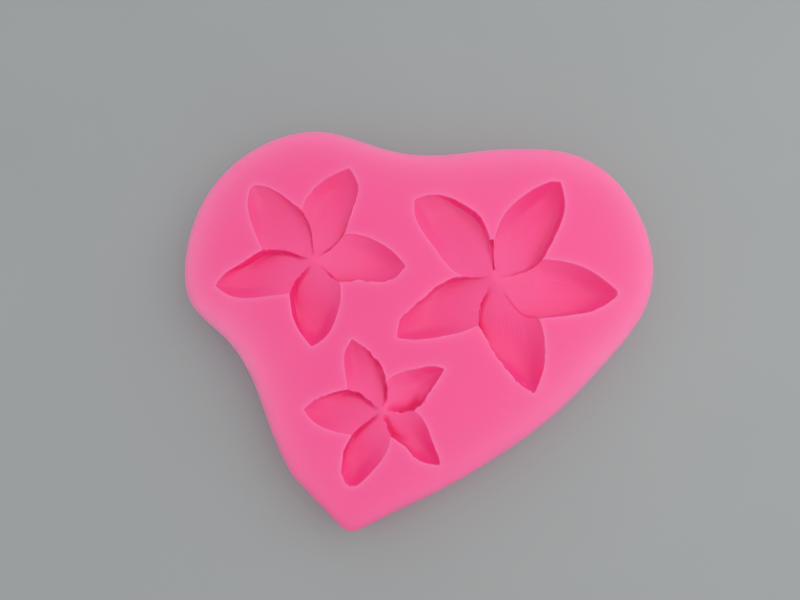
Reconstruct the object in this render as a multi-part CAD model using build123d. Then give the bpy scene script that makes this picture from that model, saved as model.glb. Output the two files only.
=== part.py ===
from build123d import *
import os

# Silicone fondant mould: one cast slab, lying face up, with three five-petal flowers sunk into its top.
# Lengths are millimetres. The origin is under the middle of the slab, on the face it rests on.
# +X runs along the slab's longest side, +Y towards its two lobes, and +Z up out of the working face.

# Slab
mould_length = 100.0
mould_width = 84.5
mould_thickness = 12.0
top_edge_radius = 3.2
bottom_edge_radius = 1.2
tip_radius = 3.6

# Flowers: petal reach is the longest petal, from the flower's centre to its tip
large_reach = 25.7
large_depth = 3.6
medium_reach = 21.6
medium_depth = 3.4
small_reach = 15.9
small_depth = 3.0

# How far a cutting shape runs past the faces it cuts
cut_overrun = 1.0

# Slab outline: (share of mould_length, share of mould_width). The soft curve runs anticlockwise from the
# right side of the tip to its left side, and two straight runs from there meet at the rounded tip.
outline_shares = [
    (-0.061, -0.463),
    (0.027, -0.415),
    (0.148, -0.337),
    (0.286, -0.222),
    (0.376, -0.120),
    (0.434, -0.046),
    (0.484, 0.046),
    (0.500, 0.151),
    (0.475, 0.279),
    (0.424, 0.373),
    (0.341, 0.436),
    (0.240, 0.452),
    (0.140, 0.446),
    (0.045, 0.434),
    (-0.070, 0.449),
    (-0.215, 0.499),
    (-0.365, 0.448),
    (-0.455, 0.338),
    (-0.500, 0.152),
    (-0.484, 0.044),
    (-0.405, -0.049),
    (-0.343, -0.156),
    (-0.303, -0.270),
    (-0.273, -0.343),
    (-0.247, -0.387),
]
tip_shares = (-0.142, -0.509)

# Where a petal's side points lie, as shares of that petal's length from the flower's centre
side_station_shares = (0.10, 0.30, 0.50, 0.70, 0.90)

# Petals of each flower: direction in degrees from +X, length as a share of the flower's reach, the half
# widths of the clockwise side at every station and of the other side at all but the first, as shares of
# the petal's length, and the same share for half the width of its blunt tip. Last come five depths as
# shares of the flower's: at the foot of the inner clockwise wall, at the clockwise side, the middle and the
# other side of the outer half, and at the tip.
large_petal_shares = [
    (131, 0.92, (0.07, 0.21, 0.28, 0.24, 0.13), (0.24, 0.23, 0.21, 0.15), 0.045,
     (0.65, 0.90, 0.85, 0.15, 0.30)),
    (56, 1.00, (0.12, 0.24, 0.235, 0.21, 0.12), (0.18, 0.22, 0.18, 0.09), 0.015,
     (1.00, 1.00, 0.95, 0.20, 0.40)),
    (-8, 1.00, (0.14, 0.29, 0.26, 0.21, 0.11), (0.19, 0.21, 0.185, 0.09), 0.028,
     (0.95, 0.60, 0.95, 0.30, 0.30)),
    (-73, 0.965, (0.11, 0.25, 0.23, 0.18, 0.09), (0.20, 0.24, 0.20, 0.10), 0.010,
     (1.00, 0.55, 0.95, 0.30, 0.30)),
    (-148, 0.935, (0.07, 0.18, 0.195, 0.16, 0.11), (0.27, 0.25, 0.18, 0.08), 0.010,
     (0.95, 0.55, 0.85, 0.20, 0.30)),
]
medium_petal_shares = [
    (130, 0.99, (0.07, 0.19, 0.22, 0.18, 0.11), (0.32, 0.30, 0.24, 0.135), 0.045,
     (0.90, 0.55, 0.75, 0.20, 0.25)),
    (71, 1.00, (0.07, 0.18, 0.18, 0.18, 0.12), (0.26, 0.30, 0.25, 0.11), 0.010,
     (0.75, 0.55, 0.80, 0.20, 0.40)),
    (-4, 0.89, (0.09, 0.22, 0.19, 0.20, 0.125), (0.32, 0.32, 0.25, 0.12), 0.015,
     (0.70, 0.45, 0.75, 0.25, 0.30)),
    (-90, 0.84, (0.11, 0.25, 0.26, 0.21, 0.09), (0.31, 0.31, 0.26, 0.15), 0.015,
     (1.00, 0.90, 0.95, 0.25, 0.45)),
    (-165, 0.98, (0.08, 0.21, 0.23, 0.16, 0.09), (0.26, 0.24, 0.21, 0.12), 0.010,
     (0.95, 0.90, 0.80, 0.25, 0.35)),
]
small_petal_shares = [
    (114, 0.99, (0.10, 0.20, 0.22, 0.16, 0.08), (0.31, 0.28, 0.23, 0.13), 0.010,
     (1.00, 0.80, 0.75, 0.20, 0.40)),
    (34, 0.95, (0.10, 0.23, 0.20, 0.14, 0.06), (0.30, 0.28, 0.20, 0.11), 0.015,
     (0.95, 0.55, 0.75, 0.25, 0.40)),
    (-43, 0.97, (0.07, 0.16, 0.14, 0.15, 0.08), (0.28, 0.27, 0.18, 0.08), 0.010,
     (0.85, 0.65, 0.90, 0.35, 0.45)),
    (-114, 1.00, (0.07, 0.18, 0.24, 0.22, 0.145), (0.24, 0.25, 0.20, 0.12), 0.080,
     (0.85, 0.60, 0.85, 0.25, 0.35)),
    (179, 0.99, (0.08, 0.22, 0.255, 0.195, 0.095), (0.30, 0.29, 0.24, 0.13), 0.010,
     (1.00, 0.75, 0.75, 0.20, 0.35)),
]

# Flower centres: (share of mould_length, share of mould_width)
large_centre_shares = (0.157, 0.101)
medium_centre_shares = (-0.221, 0.144)
small_centre_shares = (-0.076, -0.223)

# A petal starts this share of its length behind the flower's centre, so that the five run together
hub_share = 0.03

# A blunt tip is an arc that rises by this share of its half width
tip_depth_share = 0.40

# The walls lean in by this share of the petal's length for each length of depth, about this point
wall_lean_share = 0.20
lean_point_share = 0.55

# Floor of a petal: sections stand at four stations along it, at the hub, the wall, the outer half and the
# tip, and each holds four depths, evenly spaced from the clockwise side to the other
floor_station_shares = (-0.10, 0.38, 0.75, 1.08)
across_shares = (0, 0.33, 0.67, 1)
hub_depth_shares = (0.06, 0.05, 0.04, 0.03)

# How far each section reaches to both sides, as a share of the petal's greatest half widths
section_reach_shares = (1.15, 1.15, 0.95, 0.60)

# Between the wall and the other side, the inner half keeps this share of the outer half's middle depth
inner_share = 0.60


def slab_outline():
    """The slab seen from above, as a flat face."""
    points = [Vector(x * mould_length, y * mould_width) for x, y in outline_shares]
    tip = Vector(tip_shares[0] * mould_length, tip_shares[1] * mould_width)
    curve = Spline(*points, tangents=[points[0] - tip, tip - points[-1]])
    face = make_face([curve, Line(points[-1], tip), Line(tip, points[0])])
    return fillet(face.vertices().sort_by(Axis.Y)[0], tip_radius)


def slab():
    """The plain slab, with its soft top rim and the smaller rounding round its base."""
    body = extrude(slab_outline(), mould_thickness)
    body = fillet(body.faces().sort_by(Axis.Z)[-1].edges(), top_edge_radius)
    return fillet(body.faces().sort_by(Axis.Z)[0].edges(), bottom_edge_radius)


def petal_outline(length, clockwise, other, blunt):
    """The petal's rim as a flat face, pointing along +X from the flower's centre."""
    start = (-hub_share * length, 0)
    shoulder = (1 - tip_depth_share * blunt) * length
    right = [(s * length, -w * length) for s, w in zip(side_station_shares, clockwise)]
    left = [(s * length, w * length) for s, w in zip(side_station_shares[1:], other)]
    right_end = (shoulder, -blunt * length)
    left_end = (shoulder, blunt * length)
    sides = [
        Spline(start, *right, right_end),
        ThreePointArc(right_end, (length, 0), left_end),
        Spline(left_end, *reversed(left), start),
    ]
    return make_face(sides)


def petal_walls(outline, length, depth):
    """Leaning walls through the rim, from below the deepest floor to above the working face."""
    hold = Location((lean_point_share * length, 0, 0))
    levels = (cut_overrun, -depth - cut_overrun)
    rings = []
    for level in levels:
        size = 1 + wall_lean_share * level / length
        ring = hold * scale(hold.inverse() * outline, size)
        rings.append(Pos(0, 0, level) * ring)
    return loft(rings, ruled=True)


def floor_depths(wall, outer, middle, far, tip):
    """The four depths across each floor section, as shares of the flower's depth."""
    inner = inner_share * middle
    by_the_wall = (wall, (wall + inner) / 2, inner, inner / 2)
    return [hub_depth_shares, by_the_wall, (outer, middle, middle, far), (tip, tip, tip, tip)]


def petal_floor(length, depth, right_reach, left_reach, depths):
    """The space above the petal's floor, as a loft through sections across the petal."""
    sections = []
    for station, reach_share, row in zip(floor_station_shares, section_reach_shares, depths):
        across = [reach_share * (-right_reach + (right_reach + left_reach) * t) for t in across_shares]
        floor = [(y, -d * depth) for y, d in zip(across, row)]
        corners = [floor[-1], (across[-1], cut_overrun), (across[0], cut_overrun), floor[0]]
        plane = Plane(origin=(station * length, 0, 0), x_dir=(0, 1, 0), z_dir=(1, 0, 0))
        sections.append(plane * make_face([Spline(*floor), Polyline(*corners)]))
    return loft(sections)


def petal(reach, depth, direction, length_share, clockwise, other, blunt, depth_shares):
    """The space of one petal, from the flower's centre at the origin of the working face."""
    length = length_share * reach
    walls = petal_walls(petal_outline(length, clockwise, other, blunt), length, depth)
    depths = floor_depths(*depth_shares)
    floor = petal_floor(length, depth, max(clockwise) * length, max(other) * length, depths)
    return Rot(0, 0, direction) * (walls & floor)


def flower(centre_shares, reach, depth, petal_shares):
    """The five petal spaces of one flower, in place under the working face."""
    x_share, y_share = centre_shares
    place = Pos(x_share * mould_length, y_share * mould_width, mould_thickness)
    return [place * petal(reach, depth, *shares) for shares in petal_shares]


def silicone_mould():
    """The finished casting: the slab with its three flowers cut out."""
    body = slab()
    spaces = [
        *flower(large_centre_shares, large_reach, large_depth, large_petal_shares),
        *flower(medium_centre_shares, medium_reach, medium_depth, medium_petal_shares),
        *flower(small_centre_shares, small_reach, small_depth, small_petal_shares),
    ]
    for space in spaces:
        body = body - space
    return body


os.makedirs("parts", exist_ok=True)
mould = silicone_mould()
export_step(mould, "parts/silicone_mould.step")
box = mould.bounding_box()
print("silicone_mould", [round(v, 2) for v in (*box.min, *box.max)], round(mould.volume))
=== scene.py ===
"""Silicone fondant mould: the looks of one cast slab, built in the frame of its CAD solid.

The slab's visible surface is worked out as a height for every point seen from above: the flat working
face, less the depth of the petal that is deepest there. Points are laid along every petal rim, over the
petal floors and over the flat face, and joined into triangles. Rings round the rim, the side and the base
close the mesh. Lengths are in metres unless a name or a comment says mm.
"""

import math

import bpy
import numpy as np
from bpy.props import FloatProperty, FloatVectorProperty, PointerProperty
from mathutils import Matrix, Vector, noise
from mathutils.geometry import delaunay_2d_cdt


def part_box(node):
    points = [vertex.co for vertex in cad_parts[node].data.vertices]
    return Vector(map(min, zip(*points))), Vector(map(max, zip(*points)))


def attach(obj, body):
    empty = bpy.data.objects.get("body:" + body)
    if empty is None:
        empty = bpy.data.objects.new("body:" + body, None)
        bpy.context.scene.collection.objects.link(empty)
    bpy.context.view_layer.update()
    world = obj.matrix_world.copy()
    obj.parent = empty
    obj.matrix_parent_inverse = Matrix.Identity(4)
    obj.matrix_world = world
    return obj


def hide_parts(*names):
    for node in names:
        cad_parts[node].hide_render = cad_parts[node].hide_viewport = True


bl_info = {
    "name": "Silicone Fondant Mould",
    "version": (1, 0, 0),
    "blender": (4, 5, 0),
    "location": "View3D > Sidebar > Fondant Mould",
    "description": "Builds a silicone fondant mould with sunk flowers, and a plain studio round it",
    "category": "Object",
}

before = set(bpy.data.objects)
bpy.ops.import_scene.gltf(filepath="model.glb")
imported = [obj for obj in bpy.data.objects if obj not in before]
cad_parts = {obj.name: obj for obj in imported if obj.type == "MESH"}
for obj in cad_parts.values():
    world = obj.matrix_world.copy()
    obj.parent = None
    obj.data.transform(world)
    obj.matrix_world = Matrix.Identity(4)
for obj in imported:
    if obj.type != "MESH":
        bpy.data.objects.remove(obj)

NODE = "silicone_mould"
MM = 0.001

# The slab in plan, as in the CAD source: shares of its length and width, anticlockwise from the right
# side of the tip to its left side, and the corner where the two straight runs would meet
OUTLINE_SHARES = [
    (-0.061, -0.463),
    (0.027, -0.415),
    (0.148, -0.337),
    (0.286, -0.222),
    (0.376, -0.120),
    (0.434, -0.046),
    (0.484, 0.046),
    (0.500, 0.151),
    (0.475, 0.279),
    (0.424, 0.373),
    (0.341, 0.436),
    (0.240, 0.452),
    (0.140, 0.446),
    (0.045, 0.434),
    (-0.070, 0.449),
    (-0.215, 0.499),
    (-0.365, 0.448),
    (-0.455, 0.338),
    (-0.500, 0.152),
    (-0.484, 0.044),
    (-0.405, -0.049),
    (-0.343, -0.156),
    (-0.303, -0.270),
    (-0.273, -0.343),
    (-0.247, -0.387),
]
TIP_SHARES = (-0.142, -0.509)

# Blunt tip of a petal: how far its arc rises, as a share of its half width
TIP_DEPTH_SHARE = 0.40


def blunt_tip(half_width):
    """Three points round a blunt tip, from the clockwise side to the other, as shares of the length."""
    shoulder = 1 - TIP_DEPTH_SHARE * half_width
    return ((shoulder, -half_width), (1, 0), (shoulder, half_width))


# Corners of the square tips of the large flower's first two petals, in the same order
SQUARE_TIP_1 = ((0.968, -0.045), (1.008, 0.062))
SQUARE_TIP_2 = ((1.000, -0.018), (0.958, 0.050))

# Petals, one row each. Widths, places and the points round the tip are shares of the petal's length.
# A row holds the petal's direction in degrees from +X and its length as a share of the flower's reach,
# the half widths of its clockwise side and of its other side at the stations, the points round its tip,
# five depths as shares of the flower's (by the inner clockwise wall, at the clockwise side, the middle and
# the other side of the outer half, and at the tip), how deep its rim is chipped in mm, the start, end,
# width in mm and strength of the crease along its clockwise side, and how strongly painted shade deepens
# its colour towards the tip
STATION_SHARES = (0.10, 0.30, 0.50, 0.70, 0.90)
LARGE_PETALS = [
    (131, 0.92, (0.07, 0.21, 0.28, 0.24, 0.13), (0.24, 0.23, 0.21, 0.15), SQUARE_TIP_1,
     (0.65, 0.90, 0.85, 0.15, 0.30), 0.07, (0.34, 0.90, 0.34, 1.00), 0.00),
    (56, 1.00, (0.12, 0.24, 0.235, 0.21, 0.12), (0.18, 0.22, 0.18, 0.09), SQUARE_TIP_2,
     (1.00, 1.00, 0.95, 0.20, 0.40), 0.07, (0.05, 0.40, 0.50, 0.60), 0.75),
    (-8, 1.00, (0.14, 0.29, 0.26, 0.21, 0.11), (0.19, 0.21, 0.185, 0.09), blunt_tip(0.028),
     (0.95, 0.60, 0.95, 0.30, 0.30), 0.05, (0.05, 0.52, 0.45, 0.65), 0.65),
    (-73, 0.965, (0.11, 0.25, 0.23, 0.18, 0.09), (0.20, 0.24, 0.20, 0.10), blunt_tip(0.010),
     (1.00, 0.55, 0.95, 0.30, 0.30), 0.19, (0.05, 0.56, 0.75, 0.95), 0.80),
    (-148, 0.935, (0.07, 0.18, 0.195, 0.16, 0.11), (0.27, 0.25, 0.18, 0.08), blunt_tip(0.010),
     (0.95, 0.55, 0.85, 0.20, 0.30), 0.09, (0.05, 0.48, 0.26, 0.60), 0.40),
]
MEDIUM_PETALS = [
    (130, 0.99, (0.07, 0.19, 0.22, 0.18, 0.11), (0.32, 0.30, 0.24, 0.135), blunt_tip(0.045),
     (0.90, 0.55, 0.75, 0.20, 0.25), 0.06, (0.05, 0.60, 0.34, 0.90), 0.10),
    (71, 1.00, (0.07, 0.18, 0.18, 0.18, 0.12), (0.26, 0.30, 0.25, 0.11), blunt_tip(0.010),
     (0.75, 0.55, 0.80, 0.20, 0.40), 0.15, (0.05, 0.50, 0.42, 0.95), 0.45),
    (-4, 0.89, (0.09, 0.22, 0.19, 0.20, 0.125), (0.32, 0.32, 0.25, 0.12), blunt_tip(0.015),
     (0.70, 0.45, 0.75, 0.25, 0.30), 0.18, (0.05, 0.50, 0.34, 0.85), 0.40),
    (-90, 0.84, (0.11, 0.25, 0.26, 0.21, 0.09), (0.31, 0.31, 0.26, 0.15), blunt_tip(0.015),
     (1.00, 0.90, 0.95, 0.25, 0.45), 0.06, (0.05, 0.90, 0.55, 0.95), 0.80),
    (-165, 0.98, (0.08, 0.21, 0.23, 0.16, 0.09), (0.26, 0.24, 0.21, 0.12), blunt_tip(0.010),
     (0.95, 0.90, 0.80, 0.25, 0.35), 0.05, (0.05, 0.94, 0.62, 0.95), 0.55),
]
SMALL_PETALS = [
    (114, 0.99, (0.10, 0.20, 0.22, 0.16, 0.08), (0.31, 0.28, 0.23, 0.13), blunt_tip(0.010),
     (1.00, 0.80, 0.75, 0.20, 0.40), 0.17, (0.05, 0.86, 0.55, 1.00), 0.40),
    (34, 0.95, (0.10, 0.23, 0.20, 0.14, 0.06), (0.30, 0.28, 0.20, 0.11), blunt_tip(0.015),
     (0.95, 0.55, 0.75, 0.25, 0.40), 0.24, (0.05, 0.60, 1.40, 0.90), 0.80),
    (-43, 0.97, (0.07, 0.16, 0.14, 0.15, 0.08), (0.28, 0.27, 0.18, 0.08), blunt_tip(0.010),
     (0.85, 0.65, 0.90, 0.35, 0.45), 0.18, (0.05, 0.52, 0.95, 0.95), 1.00),
    (-114, 1.00, (0.07, 0.18, 0.24, 0.22, 0.145), (0.24, 0.25, 0.20, 0.12), blunt_tip(0.080),
     (0.85, 0.60, 0.85, 0.25, 0.35), 0.11, (0.05, 0.84, 0.70, 1.00), 0.90),
    (179, 0.99, (0.08, 0.22, 0.255, 0.195, 0.095), (0.30, 0.29, 0.24, 0.13), blunt_tip(0.010),
     (1.00, 0.75, 0.75, 0.20, 0.35), 0.14, (0.05, 0.76, 0.75, 1.00), 0.45),
]

# Flowers: centre as shares of the slab's length and width, then reach, depth and vein height in mm
FLOWERS = [
    ((0.157, 0.101), 25.7, 3.6, 0.060, LARGE_PETALS),
    ((-0.221, 0.144), 21.6, 3.4, 0.024, MEDIUM_PETALS),
    ((-0.076, -0.223), 15.9, 3.0, 0.014, SMALL_PETALS),
]

# Slit between the first two petals of the large flower: direction in degrees, distance of both ends from
# the centre, width and depth
SLIT = (93, 1.6 * MM, 8.2 * MM, 1.0 * MM, 1.3 * MM)

# A petal starts this share of its length behind the flower's centre
HUB_SHARE = 0.03

# Floor of a petal, as in the CAD source: the stations along it and across it where its depth is given, the
# depths across it at the hub, how far each section reaches to both sides as a share of the greatest half
# widths, and the share of the outer half's middle depth that the inner half keeps
FLOOR_ALONG = (-0.10, 0.38, 0.75, 1.08)
FLOOR_ACROSS = (0, 0.33, 0.67, 1)
HUB_DEPTHS = (0.06, 0.05, 0.04, 0.03)
SECTION_REACHES = (1.15, 1.15, 0.95, 0.60)
INNER_SHARE = 0.60

# Mesh of the working face: rows of points inside and outside every rim, the cells that hold one point each
# near the rims and on the floors, steps along and across a floor, and how far the floor's points and those
# of the flat face keep from a rim and from the slab's rounding
RIM_ROWS = np.array((-0.06, 0.0, 0.05, 0.11, 0.18, 0.26, 0.36, 0.48, 0.62, 0.80, 1.02, 1.30, 1.65,
                     -0.14, -0.26, -0.45, -0.8)) * MM
RIM_CELL = 0.07 * MM
FLOOR_CELL = 0.16 * MM
FLOOR_STEPS = (0.75 * MM, 0.21 * MM)
FLOOR_FROM_RIM = 1.7 * MM
FLAT_FROM_RIM = 1.1 * MM
FLAT_FROM_ROUNDING = 0.5 * MM

# Mesh of the resting face: distance between its points, and how far they keep from the base's rounding
UNDERSIDE_STEP = 3 * MM
UNDERSIDE_FROM_ROUNDING = 1 * MM

# Distance from the nearest rim that stands for points that are near none
FAR_AWAY = 1.0

# Points round the slab, distance between the points of its curve, and steps of the tip, rim, side and base
SLAB_POINTS = 720
SLAB_CURVE_STEP = 0.3 * MM
TIP_STEPS = 24
RIM_STEPS = 12
SIDE_STEPS = 6
BASE_STEPS = 6


class MouldShape(bpy.types.PropertyGroup):
    """Sizes of the casting's small forms."""

    rim_radius: FloatProperty(
        name="Rim radius", description="Rounding between the working face and the side",
        default=3.2 * MM, unit="LENGTH")
    base_radius: FloatProperty(
        name="Base radius", description="Rounding between the side and the resting face",
        default=1.2 * MM, unit="LENGTH")
    tip_radius: FloatProperty(
        name="Tip radius", description="Plan radius of the slab's pointed end",
        default=3.6 * MM, unit="LENGTH")
    lip_radius: FloatProperty(
        name="Lip radius", description="Rounding of the petal rims on the working face",
        default=0.10 * MM, unit="LENGTH")
    foot_radius: FloatProperty(
        name="Foot radius", description="Rounding at the foot of a petal's wall near the flower's centre",
        default=0.3 * MM, unit="LENGTH")
    outer_foot: FloatProperty(
        name="Outer foot", description="How much larger that rounding is in the petal's outer half",
        default=1.2 * MM, unit="LENGTH")
    bank_width: FloatProperty(
        name="Bank width", description="Width of the soft bank inside a petal's outer sides and tip",
        default=3.0 * MM, unit="LENGTH")
    bank_share: FloatProperty(
        name="Bank share", description="Share of the depth there that the bank makes up, not the wall",
        default=0.66, min=0, max=0.9)
    crease_depth: FloatProperty(
        name="Crease depth", description="How far the crease under a neighbour goes below the floor",
        default=0.7 * MM, unit="LENGTH")
    wall_lean: FloatProperty(
        name="Wall lean", description="How far a petal wall leans in for each length of depth",
        default=0.12)
    rim_step: FloatProperty(
        name="Rim step", description="Distance between mesh points along a petal's rim",
        default=0.33 * MM, unit="LENGTH")
    face_step: FloatProperty(
        name="Face step", description="Distance between mesh points on the flat face",
        default=1.3 * MM, unit="LENGTH")
    unevenness: FloatProperty(
        name="Unevenness", description="Height of the faint waves in the cast faces",
        default=0.05 * MM, unit="LENGTH")


class MouldFinish(bpy.types.PropertyGroup):
    """Colours of the silicone, with its painted shade, highlights and sheen, and its gloss."""

    pink: FloatVectorProperty(
        name="Pink", description="Colour of the silicone on its flat face",
        subtype="COLOR", size=3, default=(0.96, 0.098, 0.312), min=0, max=1)
    # Painted shade: the petal floors are drawn a little deeper in colour than the flat face
    petal_shade_pink: FloatVectorProperty(
        name="Petal pink", description="Colour of the petals' floors",
        subtype="COLOR", size=3, default=(0.95, 0.097, 0.303), min=0, max=1)
    # Painted shade: the deepest floors are drawn deeper in colour still
    deep_shade_pink: FloatVectorProperty(
        name="Deep pink", description="Colour of the deepest floors",
        subtype="COLOR", size=3, default=(0.95, 0.090, 0.298), min=0, max=1)
    # Painted shade where walls close in, by the clockwise walls and towards the petals' tips
    shade_pink: FloatVectorProperty(
        name="Shade pink", description="Colour where walls stand close together, as at the petals' tips",
        subtype="COLOR", size=3, default=(0.96, 0.032, 0.235), min=0, max=1)
    # Painted shade in the creases where petals overlap
    crease_shade_pink: FloatVectorProperty(
        name="Crease pink", description="Colour of the creases where petals overlap",
        subtype="COLOR", size=3, default=(0.92, 0.021, 0.205), min=0, max=1)
    # Painted highlight along the petal rims
    rim_highlight_pink: FloatVectorProperty(
        name="Rim pink", description="Colour of the face close to the petal rims",
        subtype="COLOR", size=3, default=(0.96, 0.180, 0.410), min=0, max=1)
    # Painted sheen and glow of light through the slab's thin outer rim
    edge_sheen_pink: FloatVectorProperty(
        name="Edge pink", description="Colour of the slab's outer rim, where light comes through",
        subtype="COLOR", size=3, default=(0.98, 0.270, 0.490), min=0, max=1)
    roughness: FloatProperty(
        name="Roughness", description="Roughness of the satin surface", default=0.42, min=0, max=1)
    scatter: FloatProperty(
        name="Scatter depth", description="How far light wanders inside the silicone",
        default=1.8 * MM, unit="LENGTH")


class MouldStudio(bpy.types.PropertyGroup):
    """Floor, light and camera."""

    floor_grey: FloatVectorProperty(
        name="Floor", description="Colour of the pale floor",
        subtype="COLOR", size=3, default=(0.350, 0.363, 0.361), min=0, max=1)
    floor_reach: FloatProperty(
        name="Floor reach", description="How far the floor goes from the middle to each side",
        default=2.0, unit="LENGTH")
    ambient: FloatProperty(
        name="Ambient", description="Strength of the even light from all round", default=0.82)
    ambient_colour: FloatVectorProperty(
        name="Ambient colour", description="Colour of the even light from all round",
        subtype="COLOR", size=3, default=(0.97, 0.985, 1.0), min=0, max=1)
    key_power: FloatProperty(
        name="Key power", description="Power of the large soft light high on the right",
        default=0.19, unit="POWER")
    key_size: FloatProperty(
        name="Key size", description="Diameter of that light", default=0.3, unit="LENGTH")
    key_place: FloatVectorProperty(
        name="Key place", description="Where that light stands", subtype="TRANSLATION",
        size=3, default=(0.14, 0.03, 0.24), unit="LENGTH")
    key_colour: FloatVectorProperty(
        name="Key colour", description="Colour of that light",
        subtype="COLOR", size=3, default=(1.0, 0.985, 0.97), min=0, max=1)
    camera_place: FloatVectorProperty(
        name="Camera place", description="Where the camera stands", subtype="TRANSLATION",
        size=3, default=(-4.075 * MM, -17.731 * MM, 129.57 * MM), unit="LENGTH")
    camera_tilt: FloatProperty(
        name="Camera tilt", description="Angle between the view and straight down",
        default=math.radians(10.3), subtype="ANGLE")
    lens_mm: FloatProperty(
        name="Lens", description="Focal length on a 36 mm wide sensor", default=26.0)


def spline(points, step, start=None, end=None):
    """Points at most a step apart on the smooth curve through points, with end directions if given."""
    p = np.array(points, float)
    h = np.linalg.norm(np.diff(p, axis=0), axis=1)
    count = len(p)
    a = np.zeros((count, count))
    b = np.zeros((count, 2))
    slope = np.diff(p, axis=0) / h[:, None]
    for i in range(1, count - 1):
        a[i, i - 1 : i + 2] = h[i - 1], 2 * (h[i - 1] + h[i]), h[i]
        b[i] = 6 * (slope[i] - slope[i - 1])
    a[0, 0] = a[-1, -1] = 1
    if start is not None:
        a[0, :2] = 2 * h[0], h[0]
        b[0] = 6 * (slope[0] - start)
    if end is not None:
        a[-1, -2:] = h[-1], 2 * h[-1]
        b[-1] = 6 * (end - slope[-1])
    bend = np.linalg.solve(a, b)
    found = []
    for i in range(count - 1):
        t = np.linspace(0, 1, max(2, int(h[i] / step) + 1), endpoint=False)[:, None]
        s = 1 - t
        curved = (s**3 - s) * bend[i] + (t**3 - t) * bend[i + 1]
        found.append(s * p[i] + t * p[i + 1] + curved * h[i] ** 2 / 6)
    return np.vstack([*found, p[-1:]])


def even_loop(points, count):
    """The closed line through points, as a count of points the same distance apart."""
    closed = np.vstack([points, points[:1]])
    along = np.concatenate([[0], np.cumsum(np.linalg.norm(np.diff(closed, axis=0), axis=1))])
    wanted = np.linspace(0, along[-1], count, endpoint=False)
    return np.stack([np.interp(wanted, along, closed[:, k]) for k in (0, 1)], axis=1)


def loop_length(points):
    """Length once round a closed line."""
    return np.linalg.norm(np.roll(points, -1, axis=0) - points, axis=1).sum()


def inward(loop):
    """Unit directions into an anticlockwise loop, one for each of its points."""
    run = np.roll(loop, -1, axis=0) - np.roll(loop, 1, axis=0)
    run /= np.linalg.norm(run, axis=1)[:, None]
    return np.stack([-run[:, 1], run[:, 0]], axis=1)


def unit(vector):
    """The same direction, of length one."""
    return vector / np.linalg.norm(vector)


def slab_loop(shape, size, centre):
    """The slab's outline seen from above, as an even anticlockwise loop."""
    points = np.array(OUTLINE_SHARES) * size
    tip = np.array(TIP_SHARES) * size
    leave, arrive = unit(points[0] - tip), unit(tip - points[-1])
    curve = spline(points, SLAB_CURVE_STEP, leave, arrive)
    half_angle = math.acos(float(np.dot(leave, -arrive))) / 2
    tangent = shape.tip_radius / math.tan(half_angle)
    middle = tip + unit(leave - arrive) * shape.tip_radius / math.sin(half_angle)
    first = tip - arrive * tangent - middle
    sweep = math.pi - 2 * half_angle
    turns = np.linspace(0, sweep, TIP_STEPS + 1)
    arc = [(first[0] * math.cos(t) - first[1] * math.sin(t),
            first[0] * math.sin(t) + first[1] * math.cos(t)) for t in turns]
    loop = even_loop(np.vstack([curve, middle + np.array(arc)]), SLAB_POINTS)
    return loop - (loop.min(axis=0) + loop.max(axis=0)) / 2 + centre


def petal_loop(length, clockwise, other, tip, step):
    """A petal's rim in its own plane, pointing along +X, as an even anticlockwise loop."""
    start = (-HUB_SHARE, 0)
    right = [start, *((s, -w) for s, w in zip(STATION_SHARES, clockwise)), tip[0]]
    left = [tip[-1], *((s, w) for s, w in zip(STATION_SHARES[:0:-1], reversed(other))), start]
    fine_steps = 3
    side_step = step / length / fine_steps
    loop = np.vstack([spline(right, side_step), *tip[1:-1], spline(left, side_step)[:-1]]) * length
    return even_loop(loop, int(loop_length(loop) / step))


def distance_inside(points, loop):
    """How far inside a loop each point is: negative outside it."""
    a, b = loop, np.roll(loop, -1, axis=0)
    run = b - a
    squared = (run**2).sum(axis=1)
    result = np.empty(len(points))
    batch = 4000
    for low in range(0, len(points), batch):
        q = points[low : low + batch, None, :]
        t = np.clip(((q - a) * run).sum(axis=2) / squared, 0, 1)
        near = np.sqrt((((a + t[..., None] * run) - q) ** 2).sum(axis=2)).min(axis=1)
        x, y = q[..., 0], q[..., 1]
        spans = (a[:, 1] > y) != (b[:, 1] > y)
        with np.errstate(divide="ignore", invalid="ignore"):
            cross_x = a[:, 0] + (y - a[:, 1]) * run[:, 0] / run[:, 1]
        inside = (spans & (x < cross_x)).sum(axis=1) % 2 == 1
        result[low : low + batch] = np.where(inside, near, -near)
    return result


def natural_weights(knots, at):
    """Weights of the values at the knots in a natural cubic spline at each of the given places."""
    k = np.array(knots)
    h = np.diff(k)
    count = len(k)
    a = np.eye(count)
    b = np.zeros((count, count))
    for i in range(1, count - 1):
        a[i, i - 1 : i + 2] = h[i - 1], 2 * (h[i - 1] + h[i]), h[i]
        b[i, i - 1 : i + 2] = 6 / h[i - 1], -6 / h[i - 1] - 6 / h[i], 6 / h[i]
    bend = np.linalg.solve(a, b)
    x = np.clip(at, k[0], k[-1])
    i = np.clip(np.searchsorted(k, x) - 1, 0, count - 2)
    t = ((x - k[i]) / h[i])[:, None]
    s = 1 - t
    values = np.eye(count)
    curved = (s**3 - s) * bend[i] + (t**3 - t) * bend[i + 1]
    return s * values[i] + t * values[i + 1] + curved * (h[i] ** 2)[:, None] / 6


def noise_at(points, wave, seed):
    """Smooth noise from -1 to 1 with the given wave length, at each point."""
    return np.array([noise.noise(Vector((x / wave, y / wave, seed))) for x, y in points])


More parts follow.
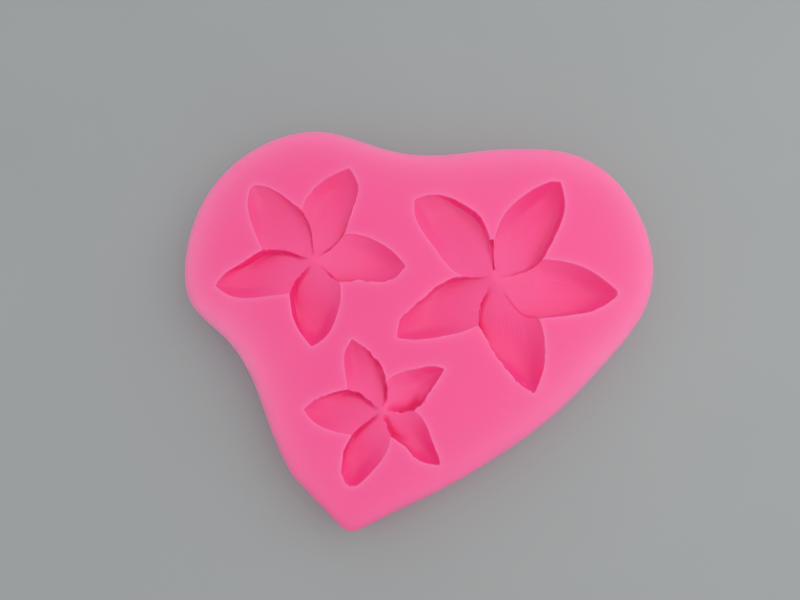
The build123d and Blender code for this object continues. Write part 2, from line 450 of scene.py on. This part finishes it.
class Petal:
    """One petal: where it lies, its rim and its depth at any point of the working face.

    Places along and across it are shares of its length, measured from the flower's centre.
    """

    # Crease: lengths over which it sets in and fades out, and how deep the floor is where it is cut in full
    crease_fades = (0.08, 0.16)
    crease_floor = 1 * MM

    # Painted shade, which deepens the colour: width of its band by the wall for each length of depth and its
    # least width, its share on the petal's middle line and how far across it changes by one, and where it
    # sets in towards the tip and the power of its rise
    shade_band, least_band = 0.22, 0.01 * MM
    shade_middle, shade_across = 0.3, 0.16
    shade_start, shade_power = 0.15, 1.2

    # Veins: how far behind the centre they fan out from, how much they curl, how close they stand, and how
    # far and in what waves they stray
    vein_origin, vein_curl, vein_density = 0.22, 0.25, 115
    vein_stray, stray_wave = 4, 5 * MM
    # Their mean strength and the waves in it, and where they show: along the petal and round the fan, each
    # with its spread
    vein_mean, patch_wave = 0.4, 2.5 * MM
    shown_along, along_spread = 0.42, 0.20
    shown_round, round_spread = 0.02, 0.22

    # Rise of the floor to the flower's centre: its radius, and the share of the depth that it fills
    hub_radius, hub_fill = 0.09, 0.75

    # Chips in the rim: fine ones and square bites, each with its wave, and their share on the other side
    chip_fine, fine_wave = 1.3, 0.8 * MM
    bite_steps, bite_wave = 3, 2.2 * MM
    other_chips = 0.55

    # Soft bank inside the outer sides: where it sets in, how its start slants across, and over what length
    bank_start, bank_slant, bank_run = 0.35, 2, 0.45

    # Rounding at the foot of the wall: where it starts to widen and over what length, and the largest share
    # of the depth that it takes
    foot_start, foot_run, foot_limit = 0.35, 0.35, 0.8

    def __init__(self, shape, centre, depth, reach, veins, number, row):
        degrees, share, clockwise, other, end, (wall, outer, middle, far, tip), chip, crease, shade = row
        self.shape, self.centre, self.depth, self.number = shape, centre, depth, number
        self.length = share * reach
        self.veins, self.chip = veins, chip * MM
        self.crease_start, self.crease_end = crease[:2]
        self.crease_width, self.crease_strength = crease[2] * MM, crease[3]
        self.shade = shade
        angle = math.radians(degrees)
        self.axis = np.array((math.cos(angle), math.sin(angle)))
        self.side = np.array((-self.axis[1], self.axis[0]))
        self.right, self.left = max(clockwise), max(other)
        inner = INNER_SHARE * middle
        by_the_wall = (wall, (wall + inner) / 2, inner, inner / 2)
        self.rows = np.array((HUB_DEPTHS, by_the_wall, (outer, middle, middle, far), (tip,) * 4))
        local = petal_loop(self.length, clockwise, other, end, shape.rim_step)
        self.loop = self.placed(local)

    def placed(self, local):
        """Points of the petal's own plane, in the slab's frame."""
        return self.centre + local[:, :1] * self.axis + local[:, 1:] * self.side

    def shares(self, points):
        """Points of the slab's frame as shares of the petal's length, along and across it."""
        out = (points - self.centre) / self.length
        return out @ self.axis, out @ self.side

    def crease(self, points, inside):
        """Strength from 0 to 1 of the crease at the clockwise side, where a neighbour overlaps it; it cuts
        the crease into the floor and sets its painted shade.
        """
        along, across = self.shares(points)
        sets_in, fades_out = self.crease_fades
        run = np.clip((along - self.crease_start) / sets_in, 0, 1)
        run *= np.clip((self.crease_end - along) / fades_out, 0, 1)
        narrow = np.exp(-((np.maximum(inside, 0) / self.crease_width) ** 2))
        return np.where((across < 0) & (inside > 0), self.crease_strength * run * narrow, 0)

    def enclosure_shade(self, points, inside, depth):
        """How strong the painted shade is at each point, from 0 to 1, at the clockwise wall and to the tip.
        """
        along, across = self.shares(points)
        band = np.maximum(self.shade_band * depth, self.least_band)
        closeness = np.clip(1 - inside / band, 0, 1)
        clockwise = np.clip(self.shade_middle - across / self.shade_across, 0, 1)
        tip = np.clip((along - self.shade_start) / (1 - self.shade_start), 0, 1) ** self.shade_power
        return np.maximum(closeness * clockwise, self.shade * tip)

    def vein_lines(self, points, along, across):
        """Pattern of the fine veins, which fan out along the middle of the petal."""
        fan = np.arctan2(across, along + self.vein_origin)
        bend = fan + self.vein_curl * along**2
        stray = self.vein_stray * noise_at(points, self.stray_wave, seed=self.number)
        lines = np.cos(bend * self.vein_density + stray)
        lines *= self.vein_mean + noise_at(points, self.patch_wave, seed=self.number + 4.5)
        far_along = ((along - self.shown_along) / self.along_spread) ** 2
        far_round = ((fan - self.shown_round) / self.round_spread) ** 2
        return lines * np.exp(-far_along - far_round)

    def floor(self, points, inside):
        """Depth of the petal's floor under each point, crease and veins included."""
        along, across = self.shares(points)
        reach = natural_weights(FLOOR_ALONG, along) @ np.array(SECTION_REACHES)
        t = (across / reach + self.right) / (self.right + self.left)
        rows = natural_weights(FLOOR_ACROSS, t) @ self.rows.T
        depth = (natural_weights(FLOOR_ALONG, along) * rows).sum(axis=1) * self.depth
        cut = self.shape.crease_depth * np.clip(depth / self.crease_floor, 0, 1)
        depth += cut * self.crease(points, inside)
        hub = np.exp(-(along**2 + across**2) / self.hub_radius**2)
        veined = depth + self.veins * self.vein_lines(points, along, across)
        return veined * (1 - self.hub_fill * hub)

    def chips(self, points, across):
        """How far the chipped rim stands out from the plain one near each point."""
        fine = self.chip_fine * noise_at(points, self.fine_wave, seed=self.number + 0.5)
        bites = np.round(self.bite_steps * noise_at(points, self.bite_wave, seed=self.number + 9.5)) / 2
        return self.chip * (fine + bites) * np.where(across < 0, 1, self.other_chips)

    def depths(self, points, inside):
        """Depth under each point, from its distance inside the rim."""
        shape = self.shape
        floor = np.maximum(self.floor(points, inside), 0)
        along, across = self.shares(points)
        d = inside + self.chips(points, across)
        outer = np.clip((along - self.bank_start + self.bank_slant * across) / self.bank_run, 0, 1)
        bank = (1 - np.clip(d / shape.bank_width, 0, 1)) ** 2
        floor = floor * (1 - shape.bank_share * outer * bank)
        widening = np.clip((along - self.foot_start) / self.foot_run, 0, 1)
        foot = shape.foot_radius + shape.outer_foot * widening
        fillet = np.minimum(foot, self.foot_limit * floor)
        wall_end = shape.wall_lean * (floor - fillet)
        into = np.clip(d - wall_end, 0, fillet)
        curve = floor - fillet + np.sqrt(np.maximum(fillet**2 - (fillet - into) ** 2, 0))
        depth = np.where(d < wall_end, d / shape.wall_lean, curve)
        return np.maximum(depth, 0)


class Slit:
    """The narrow deep gap between two petals that stand a little apart near the flower's centre."""

    # Half widths at both ends as shares of the width, how far the walls lean in for each length of depth,
    # and the distance between mesh points along the rim
    near_half, far_half = 0.2, 0.5
    wall_lean = 0.07
    step = 0.15 * MM

    def __init__(self, centre, degrees, near, far, width, depth):
        angle = math.radians(degrees)
        axis = np.array((math.cos(angle), math.sin(angle)))
        side = np.array((-axis[1], axis[0]))
        narrow, wide = self.near_half, self.far_half
        corners = ((near, -narrow), (far, -wide), (far, wide), (near, narrow))
        outline = np.array([centre + along * axis + share * width * side for along, share in corners])
        self.centre, self.length, self.depth = centre, far, depth
        self.loop = even_loop(outline, int(loop_length(outline) / self.step))

    def depths(self, points, inside):
        """Depth under each point, from its distance inside the rim."""
        return np.clip(inside / self.wall_lean, 0, self.depth)

    def enclosure_shade(self, points, inside, depth):
        """How strong the painted shade is at each point: nowhere, as the painted crease shade covers the
        slit.
        """
        return np.zeros(len(points))

    def crease(self, points, inside):
        """Strength of the painted crease shade at each point."""
        return (inside > 0).astype(float)


def make_petals(shape, size, centre):
    """Every petal of the three flowers, and the slit in the large one."""
    petals = []
    for place, reach, depth, veins, rows in FLOWERS:
        middle = np.array(place) * size + centre
        for row in rows:
            number = len(petals) + 1
            petals.append(Petal(shape, middle, depth * MM, reach * MM, veins * MM, number, row))
    slit_centre = np.array(FLOWERS[0][0]) * size + centre
    petals.append(Slit(slit_centre, *SLIT))
    return petals


def soften(depth, lip):
    """Rounds the lip where a recess meets the flat face, over about a lip radius of depth."""
    return np.sqrt(depth**2 + lip**2) - lip


def recess_depths(points, petals, shape):
    """Depth of the recesses under each point, how far it is outside the nearest rim, how strong the painted
    shade is there and how strong the painted crease shade is."""
    deepest = np.zeros(len(points))
    painted_shade = np.zeros(len(points))
    crease_shade = np.zeros(len(points))
    outside = np.full(len(points), FAR_AWAY)
    blend = 0.10 * MM
    surround = 3 * MM
    for petal in petals:
        reach = petal.length + surround
        near = np.linalg.norm(points - petal.centre, axis=1) < reach
        inside = distance_inside(points[near], petal.loop)
        depth = petal.depths(points[near], inside)
        old = deepest[near]
        gap = np.clip(0.5 + 0.5 * (depth - old) / blend, 0, 1)
        both = np.minimum(depth, old) > 0
        mixed = old + (depth - old) * gap + np.where(both, blend * gap * (1 - gap), 0)
        deepest[near] = mixed
        won = depth > old
        painted_shade[near] = np.where(won, petal.enclosure_shade(points[near], inside, depth), painted_shade[near])
        crease_shade[near] = np.where(won, petal.crease(points[near], inside), crease_shade[near])
        outside[near] = np.minimum(outside[near], -inside)
    return soften(deepest, shape.lip_radius), outside, painted_shade, crease_shade


def first_in_cell(points, cell):
    """The points with no earlier one in the same square cell."""
    keys = np.floor(points / cell).astype(np.int64)
    _, first = np.unique(keys, axis=0, return_index=True)
    return points[np.sort(first)]


def grid_points(low, high, step):
    """Points in offset rows over a rectangle, at the corners of even triangles."""
    triangle_height = 0.866
    rows = np.arange(low[1], high[1], step * triangle_height)
    found = []
    for i, y in enumerate(rows):
        x = np.arange(low[0] + (i % 2) * step / 2, high[0], step)
        found.append(np.stack([x, np.full(len(x), y)], axis=1))
    return np.vstack(found)


def floor_points(petal):
    """Mesh points over a petal's floor, in rows that draw together towards the flower's centre."""
    end, half, waist, full_from = 1.02, 0.34, 0.35, 0.4
    along_step, across_step = FLOOR_STEPS
    along = np.arange(0, end, along_step / petal.length)
    across = np.arange(-half, half, across_step / petal.length)
    u, v = np.meshgrid(along, across)
    widths = waist + (1 - waist) * np.minimum(u / full_from, 1)
    local = np.stack([u.ravel(), (v * widths).ravel()], axis=1)
    points = petal.placed(local * petal.length)
    return points[distance_inside(points, petal.loop) > FLOOR_FROM_RIM]


def face_points(petals, edge, shape):
    """Mesh points for the working face: along the rims, over the floors and over the flat face."""
    rims = []
    for petal in petals:
        normals = inward(petal.loop)
        rims += [petal.loop + normals * offset for offset in RIM_ROWS]
    found = first_in_cell(np.vstack(rims), RIM_CELL)
    floors = [floor_points(petal) for petal in petals if isinstance(petal, Petal)]
    floors = first_in_cell(np.vstack(floors), FLOOR_CELL)
    low, high = edge.min(axis=0), edge.max(axis=0)
    flat = grid_points(low, high, shape.face_step)
    flat = flat[distance_inside(flat, edge) > FLAT_FROM_ROUNDING]
    for petal in petals:
        flat = flat[distance_inside(flat, petal.loop) < -FLAT_FROM_RIM]
    return np.vstack([found, floors, flat])


def triangulate(edge, points):
    """Triangles over the inside of an edge loop: the points used, the faces and the edge's places."""
    inside_only, merge_distance = 1, 1e-8
    both = np.vstack([edge, points])
    loop = list(range(len(edge)))
    result = delaunay_2d_cdt([Vector(p) for p in both], [], [loop], inside_only, merge_distance)
    coords, _, faces, origins = result[:4]
    place = {source: new for new, sources in enumerate(origins) for source in sources}
    at = np.array([tuple(c) for c in coords])
    flipped = [signed_area(at, face) < 0 for face in faces]
    faces = [tuple(reversed(f)) if flip else tuple(f) for f, flip in zip(faces, flipped)]
    return at, faces, [place[i] for i in loop]


def signed_area(at, face):
    """Twice the area of a triangle, positive if it runs anticlockwise."""
    a, b, c = at[face[0]], at[face[1]], at[face[2]]
    return (b[0] - a[0]) * (c[1] - a[1]) - (c[0] - a[0]) * (b[1] - a[1])


def side_profile(shape, top, bottom):
    """Rim, side and base of the slab as pairs: distance inside its outline, and height."""
    rim_turns = np.linspace(0, math.pi / 2, RIM_STEPS + 1)[1:]
    rim = [(shape.rim_radius * (1 - math.sin(t)), top - shape.rim_radius * (1 - math.cos(t)))
           for t in rim_turns]
    levels = np.linspace(top - shape.rim_radius, bottom + shape.base_radius, SIDE_STEPS + 1)[1:]
    side = [(0, z) for z in levels]
    base_turns = np.linspace(0, math.pi / 2, BASE_STEPS + 1)[1:]
    base = [(shape.base_radius * (1 - math.cos(t)), bottom + shape.base_radius * (1 - math.sin(t)))
            for t in base_turns]
    return rim + side + base


def face_waves(points, shape, edge):
    """How far the cast faces dip under a flat one, in faint waves that end at the slab's rounding."""
    long_wave, short_wave, short_share, fade = 14 * MM, 6 * MM, 0.5, 4 * MM
    wave = noise_at(points, long_wave, seed=3.3) + short_share * noise_at(points, short_wave, seed=7.1)
    return shape.unevenness / 2 * (1 + wave) * np.clip(distance_inside(points, edge) / fade, 0, 1)


def build_casting(shape):
    """The casting's closed mesh, and five values for each vertex: its depth, its distance outside a petal's
    rim, how strong its painted shade is, how strong its painted crease shade is, and its distance inside the
    slab's outline."""
    low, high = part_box(NODE)
    size = np.array((high.x - low.x, high.y - low.y))
    centre = np.array((high.x + low.x, high.y + low.y)) / 2
    top, bottom = high.z, low.z
    loop = slab_loop(shape, size, centre)
    normals = inward(loop)
    petals = make_petals(shape, size, centre)

    edge = loop + normals * shape.rim_radius
    at, faces, place = triangulate(edge, face_points(petals, edge, shape))
    depth, outside, painted_shade, crease_shade = recess_depths(at, petals, shape)
    heights = top - depth - face_waves(at, shape, edge)
    verts = [(x, y, z) for (x, y), z in zip(at, heights)]
    values = list(zip(depth, outside, painted_shade, crease_shade, distance_inside(at, loop)))

    previous = place
    for into, z in side_profile(shape, top, bottom):
        ring = loop + normals * into
        start = len(verts)
        verts += [(x, y, z) for x, y in ring]
        values += [(0, FAR_AWAY, 0, 0, into)] * len(ring)
        current = list(range(start, start + len(ring)))
        for i in range(len(ring)):
            j = (i + 1) % len(ring)
            faces.append((previous[i], current[i], current[j], previous[j]))
        previous = current

    under = loop + normals * shape.base_radius
    inner = grid_points(under.min(axis=0), under.max(axis=0), UNDERSIDE_STEP)
    inner = inner[distance_inside(inner, under) > UNDERSIDE_FROM_ROUNDING]
    at, under_faces, under_place = triangulate(under, inner)
    known = dict(zip(under_place, previous))
    for i, (x, y) in enumerate(at):
        if i not in known:
            known[i] = len(verts)
            verts.append((x, y, bottom))
            values.append((0, FAR_AWAY, 0, 0, 0))
    faces += [tuple(known[i] for i in reversed(face)) for face in under_faces]
    return verts, faces, np.array(values).T


def new_material(name):
    """An empty material with its node tree and its shader."""
    material = bpy.data.materials.new(name)
    material.use_nodes = True
    return material, material.node_tree, material.node_tree.nodes["Principled BSDF"]


def noise_texture(tree, scale, detail):
    """Smooth noise in the object's own metres, from 0 to 1."""
    place = tree.nodes.new("ShaderNodeTexCoord")
    texture = tree.nodes.new("ShaderNodeTexNoise")
    texture.inputs["Scale"].default_value = scale
    texture.inputs["Detail"].default_value = detail
    tree.links.new(place.outputs["Object"], texture.inputs["Vector"])
    return texture.outputs["Fac"]


def spread(tree, value, low, high):
    """A value from 0 to 1, made to run from low to high."""
    node = tree.nodes.new("ShaderNodeMapRange")
    node.inputs["To Min"].default_value = low
    node.inputs["To Max"].default_value = high
    tree.links.new(value, node.inputs["Value"])
    return node.outputs["Result"]


def point_value(tree, name):
    """The value that the mesh holds under this name at each of its points."""
    node = tree.nodes.new("ShaderNodeAttribute")
    node.attribute_name = name
    return node.outputs["Fac"]


def silicone(finish):
    """Satin pink silicone, a little translucent and slightly mottled, with painted shade down in the petals
    and painted highlights and sheen along the rims.
    """
    material, tree, shader = new_material("silicone_pink_satin")
    nodes, links = tree.nodes, tree.links

    # Painted shade: the colour deepens with the depth of the recess
    depth_shade_ramp = nodes.new("ShaderNodeValToRGB")
    depth_shade_ramp.color_ramp.elements[0].color = (*finish.pink, 1)
    depth_shade_ramp.color_ramp.elements[1].color = (*finish.deep_shade_pink, 1)
    petal_from = 0.08
    depth_shade_ramp.color_ramp.elements.new(petal_from).color = (*finish.petal_shade_pink, 1)
    links.new(point_value(tree, "recess_depth"), depth_shade_ramp.inputs["Fac"])
    socket = depth_shade_ramp.outputs["Color"]
    # Painted highlights along the petal rims, a painted sheen round the outer rim, then painted shade where
    # walls close in and in the creases
    for name, blend in (("rim_highlight", finish.rim_highlight_pink), ("edge_sheen", finish.edge_sheen_pink),
                        ("enclosure_shade", finish.shade_pink), ("crease", finish.crease_shade_pink)):
        mix = nodes.new("ShaderNodeMix")
        mix.data_type = "RGBA"
        mix.inputs["B"].default_value = (*blend, 1)
        links.new(point_value(tree, name), mix.inputs["Factor"])
        links.new(socket, mix.inputs["A"])
        socket = mix.outputs["Result"]
    mottle = spread(tree, noise_texture(tree, scale=70, detail=3), low=0.96, high=1.04)
    colour = nodes.new("ShaderNodeHueSaturation")
    links.new(mottle, colour.inputs["Value"])
    links.new(socket, colour.inputs["Color"])
    links.new(colour.outputs["Color"], shader.inputs["Base Color"])

    smears = noise_texture(tree, scale=160, detail=4)
    gloss = spread(tree, smears, low=finish.roughness - 0.05, high=finish.roughness + 0.07)
    links.new(gloss, shader.inputs["Roughness"])

    bump = nodes.new("ShaderNodeBump")
    bump.inputs["Strength"].default_value = 0.25
    bump.inputs["Distance"].default_value = 0.02 * MM
    links.new(noise_texture(tree, scale=1900, detail=2), bump.inputs["Height"])
    links.new(bump.outputs["Normal"], shader.inputs["Normal"])

    shader.inputs["Subsurface Weight"].default_value = 0.6
    shader.inputs["Subsurface Radius"].default_value = (1.0, 0.10, 0.16)
    shader.inputs["Subsurface Scale"].default_value = finish.scatter
    shader.inputs["IOR"].default_value = 1.41
    return material


def pale_floor(studio):
    """Plain pale floor, with a very faint mottling."""
    material, tree, shader = new_material("pale_floor")
    tone = tree.nodes.new("ShaderNodeValToRGB")
    darker_and_paler = (0.97, 1.03)
    for element, factor in zip(tone.color_ramp.elements, darker_and_paler):
        element.color = (*(c * factor for c in studio.floor_grey), 1)
    tree.links.new(noise_texture(tree, scale=25, detail=2), tone.inputs["Fac"])
    tree.links.new(tone.outputs["Color"], shader.inputs["Base Color"])
    shader.inputs["Roughness"].default_value = 0.6
    shader.inputs["Specular IOR Level"].default_value = 0.3
    return material


def new_mesh(name, verts, faces, material, smooth=True):
    """A mesh object with one material, linked to the scene."""
    mesh = bpy.data.meshes.new(name)
    mesh.from_pydata(verts, [], faces)
    mesh.materials.append(material)
    mesh.polygons.foreach_set("use_smooth", [smooth] * len(mesh.polygons))
    mesh.update()
    thing = bpy.data.objects.new(name, mesh)
    bpy.context.scene.collection.objects.link(thing)
    return thing


def colour_shares(verts, values):
    """How strongly each of the silicone's colours, its painted shades, highlights and sheen among them,
    shows at every point of the casting, from 0 to 1.
    """
    depths, outsides, painted_shade, crease_shade, borders = values
    # Painted highlight on the face along the petal rims, where their rounded lips catch the light: its
    # width, and how far it reaches inside them
    band, band_inside = 0.5 * MM, 0.06 * MM
    # Painted sheen and glow of light through the thin outer rim: its width, and how it gains from its least
    # share near the camera to its full one, as less light falls on the near end
    edge_width, least, near_y, gain_run = 3.5 * MM, 0.3, -40 * MM, 45 * MM
    # Depths at which the painted shade and the painted crease shade show in full
    shade_depth, crease_depth = 0.6 * MM, 0.8 * MM
    along_y = np.array(verts)[:, 1]
    edge_sheen_share = np.clip(least + (along_y - near_y) / gain_run, least, 1)
    return {
        "recess_depth": depths / depths.max(),
        "rim_highlight": np.exp(-np.abs(outsides) / band) * (outsides > -band_inside),
        "edge_sheen": np.exp(-borders / edge_width) * edge_sheen_share,
        "enclosure_shade": painted_shade * np.clip(depths / shade_depth, 0, 1),
        "crease": crease_shade * np.clip(depths / crease_depth, 0, 1),
    }


def add_key(studio):
    """A large soft disk of light, high on the right, that faces the slab."""
    data = bpy.data.lights.new("key", "AREA")
    data.shape = "DISK"
    data.size = studio.key_size
    data.energy = studio.key_power
    data.color = studio.key_colour
    light = bpy.data.objects.new("key", data)
    light.location = studio.key_place
    light.rotation_euler = (-Vector(studio.key_place)).to_track_quat("-Z", "Y").to_euler()
    bpy.context.scene.collection.objects.link(light)


def add_world(studio):
    """Even light from all round."""
    world = bpy.data.worlds.new("studio")
    world.use_nodes = True
    background = world.node_tree.nodes["Background"]
    background.inputs["Color"].default_value = (*studio.ambient_colour, 1)
    background.inputs["Strength"].default_value = studio.ambient
    bpy.context.scene.world = world


def add_camera(studio):
    """The camera, over the slab and a little in front of it."""
    data = bpy.data.cameras.new("camera")
    data.sensor_width = 36
    data.lens = studio.lens_mm
    data.clip_start = 0.01
    camera = bpy.data.objects.new("camera", data)
    camera.location = studio.camera_place
    camera.rotation_euler = (studio.camera_tilt, 0, 0)
    bpy.context.scene.collection.objects.link(camera)
    bpy.context.scene.camera = camera


class FM_OT_build_casting(bpy.types.Operator):
    """Build the mould's one casting in place of its CAD solid"""

    bl_idname = "fondant_mould.build_casting"
    bl_label = "Build Casting"

    def execute(self, context):
        verts, faces, values = build_casting(context.scene.mould_shape)
        material = silicone(context.scene.mould_finish)
        casting = new_mesh("silicone_casting", verts, faces, material)
        for name, shares in colour_shares(verts, values).items():
            field = casting.data.attributes.new(name, "FLOAT", "POINT")
            field.data.foreach_set("value", shares)
        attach(casting, "root")
        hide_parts(NODE)
        print("casting", len(verts), "points", len(faces), "faces")
        return {"FINISHED"}


class FM_OT_build_stage(bpy.types.Operator):
    """Build the floor, lights and camera"""

    bl_idname = "fondant_mould.build_stage"
    bl_label = "Build Stage"

    def execute(self, context):
        studio = context.scene.mould_studio
        reach = studio.floor_reach
        square = [(-reach, -reach, 0), (reach, -reach, 0), (reach, reach, 0), (-reach, reach, 0)]
        floor = new_mesh("floor", square, [(0, 1, 2, 3)], pale_floor(studio), smooth=False)
        add_key(studio)
        add_world(studio)
        add_camera(studio)
        context.scene.view_settings.view_transform = "Standard"
        return {"FINISHED"}


class FM_PT_panel(bpy.types.Panel):
    """Sidebar panel with the mould's settings and build buttons"""

    bl_label = "Fondant Mould"
    bl_idname = "FM_PT_panel"
    bl_space_type = "VIEW_3D"
    bl_region_type = "UI"
    bl_category = "Fondant Mould"

    def draw(self, context):
        layout = self.layout
        for group in ("mould_shape", "mould_finish", "mould_studio"):
            settings = getattr(context.scene, group)
            box = layout.box()
            for name in settings.__annotations__:
                box.prop(settings, name)
        layout.operator("fondant_mould.build_casting")
        layout.operator("fondant_mould.build_stage")


CLASSES = (MouldShape, MouldFinish, MouldStudio, FM_OT_build_casting, FM_OT_build_stage, FM_PT_panel)


def register():
    for item in CLASSES:
        bpy.utils.register_class(item)
    bpy.types.Scene.mould_shape = PointerProperty(type=MouldShape)
    bpy.types.Scene.mould_finish = PointerProperty(type=MouldFinish)
    bpy.types.Scene.mould_studio = PointerProperty(type=MouldStudio)


def unregister():
    del bpy.types.Scene.mould_studio
    del bpy.types.Scene.mould_finish
    del bpy.types.Scene.mould_shape
    for item in reversed(CLASSES):
        bpy.utils.unregister_class(item)


def corners(bounds):
    """A box as plain lists of numbers."""
    return [[float(value) for value in corner] for corner in bounds]


def main():
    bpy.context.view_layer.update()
    register()
    bpy.ops.fondant_mould.build_casting()
    bpy.ops.fondant_mould.build_stage()


if __name__ == "__main__":
    main()
